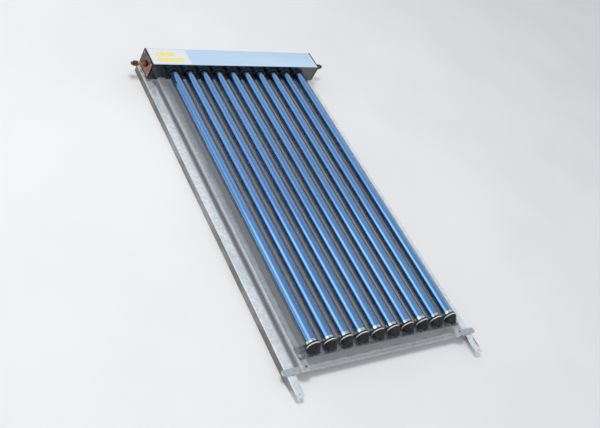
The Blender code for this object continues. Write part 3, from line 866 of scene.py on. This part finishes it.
def make_screws(side, sign):
    """Cross-slotted pan-head screws near the corners of an end plate."""
    inset = 0.016
    slot_size = Matrix.Diagonal((0.003, 0.0042, 0.0008, 1))
    slot_height = 0.0026
    spots = [(y, z) for y in (HEADER_Y + inset, header_high.y - inset)
             for z in (header_low.z + inset, header_high.z - inset)]
    head = [(0, 0.0024), (0.0016, 0.0023), (0.0030, 0.0017), (0.0037, 0.0007), (0.0038, 0.0001),
            (0, 0.0001)]
    for index, (y, z) in enumerate(spots):
        centre = Vector((sign * HEADER_HALF, y, z))
        item = loose(turned_data("screw", head, centre, X_AXIS * sign, SMALL))
        slots = []
        for turn in (35, 125):
            direction = Vector((0, math.cos(math.radians(turn)), math.sin(math.radians(turn))))
            side_way = X_AXIS.cross(direction)
            work = bmesh.new()
            bmesh.ops.create_cube(work, size=1)
            basis = Matrix((X_AXIS, direction, side_way)).transposed().to_4x4()
            place = Matrix.Translation(centre + X_AXIS * sign * slot_height)
            work.transform(place @ basis @ slot_size)
            slots.append(loose(finish_mesh("slot", work)))
        boolean(item, slots, "DIFFERENCE")
        data = take_data(item)
        smooth(data, 35)
        piece(f"plate_screw_{side}_{index + 1}", data, zinc, "root", ())


def make_label():
    """Blank white label at the left of the header's front, with two plain yellow bars."""
    face = header_high.z - HEADER_INSET
    vinyl = face + 0.0003     # top of the label
    left = header_low.x + 0.010
    margin = 0.007
    width = 0.232
    outline = rounded_box((left, HEADER_Y + margin), (left + width, header_high.y - margin), 0.004)
    piece("blank_label", prism_data("label", outline, face + 0.00005, vinyl, along_z), label_white)
    bars = ((0.150, 0.068), (0.196, 0.024))    # right end and lower edge of each bar
    start = left + 0.034
    height = 0.030
    for index, (end, bottom) in enumerate(bars):
        outline = rounded_box((start, HEADER_Y + bottom), (left + end, HEADER_Y + bottom + height),
                              0.009, 8)
        bar = prism_data("bar", outline, vinyl, vinyl + 0.0002, along_z)
        piece(f"label_bar_{index + 1}", bar, label_yellow)


def make_manifold():
    """Copper manifold with brazed pockets, then the fittings on its stubs."""
    pipe_low, pipe_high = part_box("manifold_pipe")
    centre = Vector((0, middle("pipe_gland_left").y, AXIS_Z))
    end = pipe_high.x
    wide_r = 0.0175
    neck = 0.530              # where the pipe narrows to its stub
    taper = 0.016
    taper_steps = 6
    bore = STUB_R - 0.001
    wide_bore = wide_r - 0.0012
    half = [(STUB_R, end), (STUB_R, neck + taper)]
    for step in range(1, taper_steps):
        swell = (1 - math.cos(step * math.pi / taper_steps)) / 2
        half.append((STUB_R + (wide_r - STUB_R) * swell, neck + taper * (1 - step / taper_steps)))
    half.append((wide_r, neck))
    outside = half + [(r, -h) for r, h in reversed(half)]
    inside = [(bore, -end), (bore, -neck - 0.015), (wide_bore, -neck), (wide_bore, neck),
              (bore, neck + 0.015), (bore, end)]
    pipe = loose(turned_data("manifold", outside + inside, centre, X_AXIS, FINE, True))

    pocket_r = 0.0095
    bore = pocket_r - 0.0022
    start = 0.033             # pocket's ends above the header's lower face
    stop = 0.097
    crown = 0.003
    wall = [(0, start), (pocket_r, start), (pocket_r, stop - crown), (pocket_r - crown, stop),
            (0, stop)]
    mouth = start - 0.004     # the boring tool starts outside the pocket
    hollow = [(0, mouth), (bore, mouth), (bore, stop - crown), (0, stop - crown)]
    for profile, operation in ((wall, "UNION"), (hollow, "DIFFERENCE")):
        work = bmesh.new()
        for x in TUBE_AXIS:
            lathe(work, profile, Vector((x, HEADER_Y, AXIS_Z)), Y_AXIS, SMALL)
        boolean(pipe, [loose(finish_mesh("pockets", work))], operation)
    data = take_data(pipe)
    smooth(data, 35)
    piece("manifold_copper", data, copper, "root", ["manifold_pipe"])
    make_stub_fittings(centre, end)


def make_stub_fittings(centre, end):
    """Rubber gland and knurled cap on each stub."""
    inner = STUB_R + 0.0004
    gland = [(inner, 0.0052), (inner + 0.0004, 0.0058), (0.0150, 0.0058), (0.0165, 0.0052),
             (0.0178, 0.0038), (0.0180, 0.0026), (0.0180, 0.0006), (0.0177, GAP), (0.0142, GAP),
             (0.0142, -0.0022), (inner, -0.0022)]
    cap = [(0, 0.0260), (0.0078, 0.0260), (0.0088, 0.0252), (0.0092, 0.0236), (0.0092, 0.0165),
           (0.0100, 0.0152), (0.0138, 0.0142), (0.0145, 0.0130), (0.0145, -0.0065),
           (0.0140, -0.0078), (inner + 0.0002, -0.0080), (inner, -0.0076), (inner, 0.0018),
           (0, 0.0018)]
    grip = (7, 8)             # points of the cap's profile on its wide part

    def knurl(angle, index):
        """Fine knurling round the cap's wide part."""
        return -0.0004 * (0.5 + 0.5 * math.cos(24 * angle)) if index in grip else 0

    for side, sign in SIDES:
        spot = Vector((sign * HEADER_HALF, centre.y, AXIS_Z))
        piece("stub_gland_" + side, turned_data("gland", gland, spot, X_AXIS * sign, FINE, True),
              seal_black, "root", ["pipe_gland_" + side])
        spot = Vector((sign * end, centre.y, AXIS_Z))
        data = turned_data("cap", cap, spot, X_AXIS * sign, VERY_FINE, False, knurl)
        piece("stub_cap_" + side, data, brass, "root", ["pipe_cap_" + side])


# --- frame ----------------------------------------------------------------------------------
def channel_path(half, low, high, bend, steps=8):
    """Outer face of a channel with its web on top, from the right foot round to the left."""
    return ([(half, low)] + arc(half - bend, high - bend, bend, 0, 90, steps)
            + arc(-half + bend, high - bend, bend, 90, 180, steps) + [(-half, low)])


def channel_outline(half, low, high, shift):
    """Outline of a channel's section, moved sideways to its place."""
    outline = sheet_outline(channel_path(half, low, high, CHANNEL_BEND), CHANNEL_SHEET)
    return [(x + shift, z) for x, z in outline]


def make_channel_rails():
    """Rails beside the tubes, with rounded bends and their holes."""
    bar_y = middle("crossbar_lower").y
    for side, sign in SIDES:
        low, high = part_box("channel_rail_" + side)
        outline = channel_outline((high.x - low.x) / 2, low.z, high.z, (low.x + high.x) / 2)
        rail = loose(prism_data("rail", outline, low.y, high.y, along_y))
        bolt = middle("track_bolt_" + side)
        holes = [drill(FIX_HOLE_R, sign * FIX_HOLE_X, bar_y, high.z),
                 drill(BOLT_HOLE_R, bolt.x, bolt.y, high.z)]
        boolean(rail, holes, "DIFFERENCE")
        soften(rail, FRAME_EDGE)
        piece("inner_rail_" + side, take_data(rail), dull_zinc, "root", ["channel_rail_" + side])


def make_base_rails():
    """Angle-iron rails: flange on top, side outside, and a joggled foot with a round tip."""
    for side, sign in SIDES:
        low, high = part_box("base_rail_" + side)
        outer = high.x if sign > 0 else low.x
        width = high.x - low.x
        rail = loose(base_rail_surface(low, high, outer, sign))
        shell = rail.modifiers.new("shell", "SOLIDIFY")
        shell.thickness = BASE_THICK
        shell.offset = -1
        shell.use_even_offset = True
        bake(rail)
        hole = drill(FIX_HOLE_R, outer - sign * width / 2, low.y + FOOT_HOLE, high.z - JOGGLE)
        boolean(rail, [hole], "DIFFERENCE")
        soften(rail, FRAME_EDGE)
        piece("angle_rail_" + side, take_data(rail), galvanised, "root", ["base_rail_" + side])


def base_rail_surface(low, high, outer, sign):
    """Outer face of a base rail: rows across the flange, then columns down the side."""
    tip = low.y
    width = high.x - low.x
    step_down = STEP_END - STEP_START
    stations = [high.y, tip + 0.100, tip + STEP_START]
    stations += [tip + STEP_START + step_down * k / 8 for k in range(1, 9)]
    stations += [tip + SIDE_END + 0.012, tip + SIDE_END, tip + TIP_ROUND]
    stations += [tip + TIP_ROUND * (1 - math.sin(math.pi / 2 * k / 5)) for k in range(1, 6)]
    work = bmesh.new()
    rows = []
    for y in stations:
        z = high.z - foot_drop(y, tip)
        rows.append([work.verts.new((outer - sign * u, y, z)) for u in flange_span(y, tip, width)])
    for first, second in zip(rows, rows[1:]):
        strip(work, first, second)

    quarter = [math.pi / 16 * step for step in range(1, 9)]
    columns = []
    for row, y in zip(rows[:3], stations):
        column = [row[-1]]
        for turn in quarter:
            u = BASE_BEND - BASE_BEND * math.sin(turn)
            v = BASE_BEND - BASE_BEND * math.cos(turn)
            column.append(work.verts.new((outer - sign * u, y, high.z - v)))
        column.append(work.verts.new((outer, y, low.z)))
        columns.append(column)
    for first, second in zip(columns, columns[1:]):
        strip(work, first, second)
    last = columns[-1][1:]
    side_low = high.z - JOGGLE - BASE_THICK - 0.001
    slanted = []
    for vert in last:
        share = (vert.co.z - low.z) / (side_low - low.z)
        share = min(1.0, max(0.0, share))
        y = tip + CHAMFER - (CHAMFER - SIDE_END) * share
        slanted.append(work.verts.new((vert.co.x, y, vert.co.z)))
    strip(work, last, slanted)
    bmesh.ops.recalc_face_normals(work, faces=work.faces)
    if sum(face.normal.z for face in work.faces) < 0:
        bmesh.ops.reverse_faces(work, faces=work.faces)
    data = bpy.data.meshes.new("base")
    work.to_mesh(data)
    work.free()
    return data


def strip(work, first, second):
    """Quads between two open rows of vertices."""
    for step in range(len(first) - 1):
        work.faces.new((first[step], first[step + 1], second[step + 1], second[step]))


def foot_drop(y, tip):
    """How far the flange has stepped down at a station."""
    share = (tip + STEP_START - y) / (STEP_START - STEP_END)
    share = min(1.0, max(0.0, share))
    return JOGGLE * (0.5 - 0.5 * math.cos(math.pi * share))


def flange_span(y, tip, width):
    """Where a row's three vertices lie across the flange, measured from its outer side."""
    if y > tip + STEP_START - 0.0001:
        return [width, width * 0.55, BASE_BEND]
    inset = 0.0
    if y < tip + TIP_ROUND:
        reach = (tip + TIP_ROUND - y) / TIP_ROUND
        inset = TIP_ROUND * (1 - math.sqrt(max(0.0, 1 - reach * reach)))
    return [width - inset, width * 0.55, max(0.0006, inset)]


def flat_bar(name, node, corner, holes, material):
    """Bar or plate with round corners and holes, in place of a CAD node."""
    low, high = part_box(node)
    outline = rounded_box((low.x, low.y), (high.x, high.y), corner, 8)
    bar = loose(prism_data("bar", outline, low.z, high.z, along_z))
    boolean(bar, [drill(radius, x, y, high.z) for x, y, radius in holes], "DIFFERENCE")
    soften(bar, FRAME_EDGE)
    piece(name, take_data(bar), material, "root", [node])


def make_cross_members():
    """Crossbar, header seat and bottom track."""
    bar_y = middle("crossbar_lower").y
    flat_bar("foot_crossbar", "crossbar_lower", 0.0145,
             [(sign * FIX_HOLE_X, bar_y, FIX_HOLE_R) for _, sign in SIDES], dull_zinc)
    bolts = [middle("track_bolt_" + side) for side, _ in SIDES]
    flat_bar("cup_track", "bottom_track", 0.012,
             [(bolt.x, bolt.y, BOLT_HOLE_R) for bolt in bolts], track_zinc_dirt_and_shade)

    low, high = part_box("header_seat")
    outline = channel_outline((high.y - low.y) / 2, low.z, high.z, (low.y + high.y) / 2)
    seat = loose(prism_data("seat", outline, low.x, high.x, along_x))
    soften(seat, FRAME_EDGE)
    piece("header_hat_channel", take_data(seat), galvanised, "root", ["header_seat"])


def make_bolts():
    """Hex bolt with chamfered head, washer and shank at each end of the track."""
    washer = 0.0016
    head_height = 0.0051
    head_r = 0.0074           # to its corners
    corner_angles = [math.radians(60 * k + 12) for k in range(6)]
    for side, _ in SIDES:
        low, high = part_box("track_bolt_" + side)
        centre = Vector(((low.x + high.x) / 2, (low.y + high.y) / 2, 0))
        seat = high.z - head_height - washer
        hexagon = [(centre.x + head_r * math.cos(turn), centre.y + head_r * math.sin(turn))
                   for turn in corner_angles]
        head = loose(prism_data("head", hexagon, seat + washer, high.z, along_z))
        chamfer = [(0, seat), (0.0095, seat), (0.0095, high.z - 0.0016), (0.0062, high.z),
                   (0, high.z)]
        cutter = loose(turned_data("chamfer", chamfer, centre, Z_AXIS, SMALL))
        boolean(head, [cutter], "INTERSECT")
        ring = rod(0.0085, seat, seat + washer + 0.0001, centre, Z_AXIS)
        shank = rod(0.004, low.z, seat + washer, centre, Z_AXIS)
        boolean(head, [ring, shank], "UNION")
        soften(head, 0.0002)
        piece("track_fixing_" + side, take_data(head), zinc, "root", ["track_bolt_" + side])


def make_welds():
    """Short rippled weld beads where the rails cross the bar and the header seat."""
    bar_low, bar_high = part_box("crossbar_lower")
    seat_low, seat_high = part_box("header_seat")
    runs = []
    for side, sign in SIDES:
        rail_low, rail_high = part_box("channel_rail_" + side)
        base_low, base_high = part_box("base_rail_" + side)
        for x in (rail_low.x - 0.0008, rail_high.x + 0.0008):
            start = (x, bar_low.y + 0.005, bar_high.z + 0.0010)
            runs.append((f"bar_{side}_{len(runs)}", start, Y_AXIS, 0.018))
        inner = base_low.x if sign > 0 else base_high.x
        left = min(inner, inner + sign * 0.024)
        height = base_high.z + 0.0012
        for y in (bar_low.y - 0.0004, bar_high.y + 0.0004):
            runs.append((f"base_{side}_{len(runs)}", (left + 0.002, y, height), X_AXIS, 0.022))
        for y in (seat_low.y - 0.0006, seat_high.y + 0.0006):
            runs.append((f"seat_{side}_{len(runs)}", (left + 0.004, y, height), X_AXIS, 0.026))
    for name, start, direction, length in runs:
        piece("weld_" + name, weld_data(Vector(start), direction, length), weld_metal, "root", ())


def weld_data(start, direction, length):
    """A bead of overlapping ripples."""
    rings = 26
    size = 0.0014
    ripple = 0.00035
    profile = [(0, 0)]
    for step in range(1, rings):
        share = step / rings
        swell = math.sin(math.pi * share) ** 0.35
        profile.append((size * swell + ripple * abs(math.sin(share * 30)), length * share))
    profile.append((0, length))
    return turned_data("weld", profile, start, direction, 16)


# --- carried-over nodes ---------------------------------------------------------------------
def dress_cad_nodes():
    """Give the CAD nodes that still show their materials."""
    finish = {"header_underside": plate_steel_painted_shade, "header_insulation": wool}
    for index in range(TUBE_COUNT):
        finish["heat_pipe_" + number(index)] = copper
    for name, material in finish.items():
        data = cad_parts[name].data
        data.materials.clear()
        data.materials.append(material)


# --- floor and light ------------------------------------------------------------------------
def make_floor():
    """Plain pale floor."""
    half = 60.0
    work = bmesh.new()
    corners = [(-half, -half, 0), (half, -half, 0), (half, half, 0), (-half, half, 0)]
    work.faces.new([work.verts.new(spot) for spot in corners])
    floor = loose(finish_mesh("floor", work))
    floor.name = "floor"
    floor.data.materials.append(floor_paint)


def area_light(name, place, aim, width, height, radiance, color, glossy=True):
    """Soft rectangular light of a given brightness, aimed at a point."""
    data = bpy.data.lights.new(name, "AREA")
    data.shape = "RECTANGLE"
    data.size = width
    data.size_y = height
    data.energy = radiance * math.pi * width * height
    data.color = color
    light = bpy.data.objects.new(name, data)
    light.location = place
    light.rotation_mode = "QUATERNION"
    light.rotation_quaternion = (Vector(aim) - Vector(place)).to_track_quat("-Z", "Y")
    light.visible_camera = False
    light.visible_glossy = glossy
    bpy.context.scene.collection.objects.link(light)


def make_light():
    """Even pale light all round, a key above, and panels that only show in reflections."""
    world = bpy.data.worlds.new("world")
    world.use_nodes = True
    background = world.node_tree.nodes["Background"]
    background.inputs["Color"].default_value = (0.93, 0.96, 1.0, 1)
    background.inputs["Strength"].default_value = 0.62
    bpy.context.scene.world = world
    bpy.context.scene.view_settings.view_transform = "Standard"
    area_light("key", (-1.85, 0.5, 5.3), (0, 0, 0), 1.4, 1.4, 22.0, (1.0, 0.99, 0.97), False)
    area_light("sky_low", (-3.2, 0.1, 2.5), (0, 0, 0.1), 3.2, 3.2, 0.95, (0.86, 0.96, 1.0))
    area_light("sky_mid", (-2.7, 2.3, 2.8), (0, 0, 0.1), 2.6, 2.4, 0.40, (0.90, 0.96, 1.0))
    area_light("glint", (-3.2, 0.9, 3.9), (0, 0, 0), 0.5, 2.6, 0.35, (1.0, 1.0, 1.0))
    area_light("header_panel", (2.6, 3.8, 3.4), (0, 0.7, 0.1), 3.6, 3.4, 0.28, (0.88, 0.95, 1.0))
    for name in ("sky_low", "sky_mid", "glint", "header_panel"):
        bpy.data.objects[name].visible_diffuse = False    # only seen in reflections


make_tubes()
make_cups()
make_dust_seals()
make_casing()
make_end_plates()
make_label()
make_manifold()
make_channel_rails()
make_base_rails()
make_cross_members()
make_bolts()
make_welds()
dress_cad_nodes()
make_floor()
make_light()
